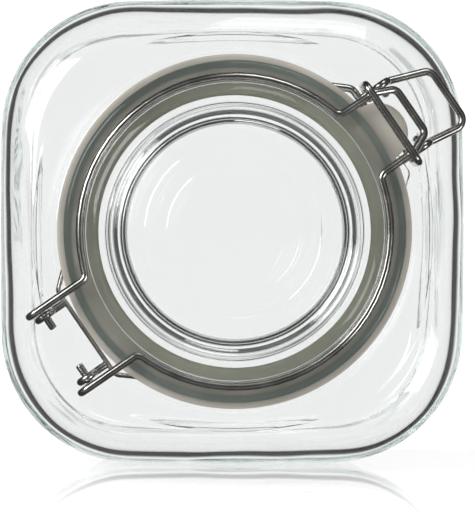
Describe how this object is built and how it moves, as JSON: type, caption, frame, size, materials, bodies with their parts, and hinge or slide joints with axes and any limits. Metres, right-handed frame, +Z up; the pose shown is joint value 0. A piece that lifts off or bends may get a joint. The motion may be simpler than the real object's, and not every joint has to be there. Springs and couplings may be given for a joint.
{
  "type": "clamp-lid glass jar",
  "caption": "Square glass storage canister with rounded corners, a round clamp-down glass lid, a rubber ring with a pull tab and a wire bail with a hinge and an over-centre latch.",
  "frame": {"origin": "centre of the base, on the face the canister stands on", "axes": "+Z up through the mouth; +X and +Y square to two flat sides of the body; the latch lies 34.5 degrees from +X towards +Y and the hinge opposite"},
  "size_m": [0.13, 0.13, 0.184],
  "materials": {
    "jar_glass": "clear soda-lime glass with a faint green tint, pressed and slightly uneven",
    "lid_glass": "clear pressed glass with a faint green tint",
    "gasket_rubber": "matte off-white rubber",
    "steel_wire": "bright drawn steel wire"
  },
  "bodies": {
    "jar": {"jar_body": "jar_glass"},
    "ring": {"neck_ring": "steel_wire"},
    "cover": {"lid": "lid_glass", "gasket": "gasket_rubber", "lid_ring": "steel_wire"},
    "lever": {"latch_lever": "steel_wire"},
    "link": {"latch_link": "steel_wire"}
  },
  "joints": [
    {"name": "ring_turn", "type": "hinge", "parent": "jar", "child": "ring", "pos_m": [0, 0, 0.1615], "axis": [0, 0, 1], "continuous": true},
    {"name": "lid_hinge", "type": "hinge", "parent": "ring", "child": "cover", "pos_m": [-0.04632, -0.03183, 0.16343], "axis": [0.5664, -0.8241, 0], "range_deg": [0, 100]},
    {"name": "lever_hinge", "type": "hinge", "parent": "ring", "child": "lever", "pos_m": [0.04632, 0.03183, 0.16343], "axis": [0.5664, -0.8241, 0], "range_deg": [0, 105]},
    {"name": "link_hinge", "type": "hinge", "parent": "lever", "child": "link", "pos_m": [0.0431, 0.02962, 0.15638], "axis": [0.5664, -0.8241, 0], "range_deg": [-137, 0]}
  ],
  "couplings": [
    {"joint": "link_hinge", "follows": "lever_hinge", "ratio": -1.3}
  ]
}
